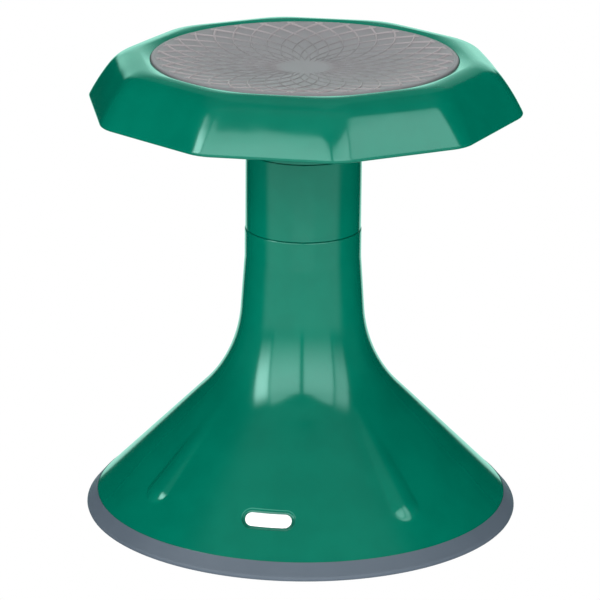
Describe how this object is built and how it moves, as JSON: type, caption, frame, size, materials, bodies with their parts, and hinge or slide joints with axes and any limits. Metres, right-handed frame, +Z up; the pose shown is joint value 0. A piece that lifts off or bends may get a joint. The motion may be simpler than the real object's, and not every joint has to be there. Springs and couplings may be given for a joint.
{
  "type": "wobble stool",
  "caption": "Active-seating stool that rocks on a domed rubber-edged base, with a screw-in column and a ten-sided seat with a dished grip pad.",
  "frame": {"origin": "on the stool's axis at floor level, in the middle of the flat at the bottom of the domed underside", "axes": "+Z up along the column's axis; -Y is the front, the side the badge faces; +X is to the right seen from the front"},
  "size_m": [0.3378, 0.3378, 0.3798],
  "materials": {
    "green_plastic": "moulded polypropylene, glossy, slightly wavy",
    "insert_nylon": "glass-filled nylon, satin black",
    "screw_steel": "zinc-plated steel",
    "rim_rubber": "satin thermoplastic rubber",
    "pad_rubber": "satin rubber skin with thin raised arcs",
    "pad_foam": "closed-cell foam",
    "badge_plastic": "plain white label, no lettering",
    "washer_nylon": "natural nylon"
  },
  "bodies": {
    "base": {"base_bell": "green_plastic", "neck_socket": "insert_nylon", "neck_socket_screws": "screw_steel", "base_pan": "green_plastic", "base_pan_screws": "screw_steel", "rim_ring": "rim_rubber", "sole_disc": "rim_rubber", "badge": "badge_plastic"},
    "neck_washer": {"neck_washer": "washer_nylon"},
    "column": {"column_tube": "green_plastic", "lower_spigot": "insert_nylon", "lower_spigot_screws": "screw_steel", "upper_spigot": "insert_nylon", "upper_spigot_screws": "screw_steel"},
    "collar_washer": {"collar_washer": "washer_nylon"},
    "seat": {"seat_shell": "green_plastic", "collar_socket": "insert_nylon", "collar_socket_screws": "screw_steel", "pad_backer": "insert_nylon", "pad_screws": "screw_steel", "pad_core": "pad_foam", "seat_pad": "pad_rubber"}
  },
  "joints": [
    {"name": "column_turn", "type": "hinge", "parent": "base", "child": "neck_washer", "pos_m": [0, 0, 0.245], "axis": [0, 0, 1], "range_deg": [0, 720]},
    {"name": "column_lift", "type": "slide", "parent": "neck_washer", "child": "column", "axis": [0, 0, 1], "range_m": [0, 0.02]},
    {"name": "seat_turn", "type": "hinge", "parent": "column", "child": "collar_washer", "pos_m": [0, 0, 0.306], "axis": [0, 0, 1], "range_deg": [0, 720]},
    {"name": "seat_lift", "type": "slide", "parent": "collar_washer", "child": "seat", "axis": [0, 0, 1], "range_m": [0, 0.02]}
  ],
  "couplings": [
    {"joint": "column_lift", "follows": "column_turn", "m_per_rad": 0.0015915},
    {"joint": "seat_lift", "follows": "seat_turn", "m_per_rad": 0.0015915}
  ]
}
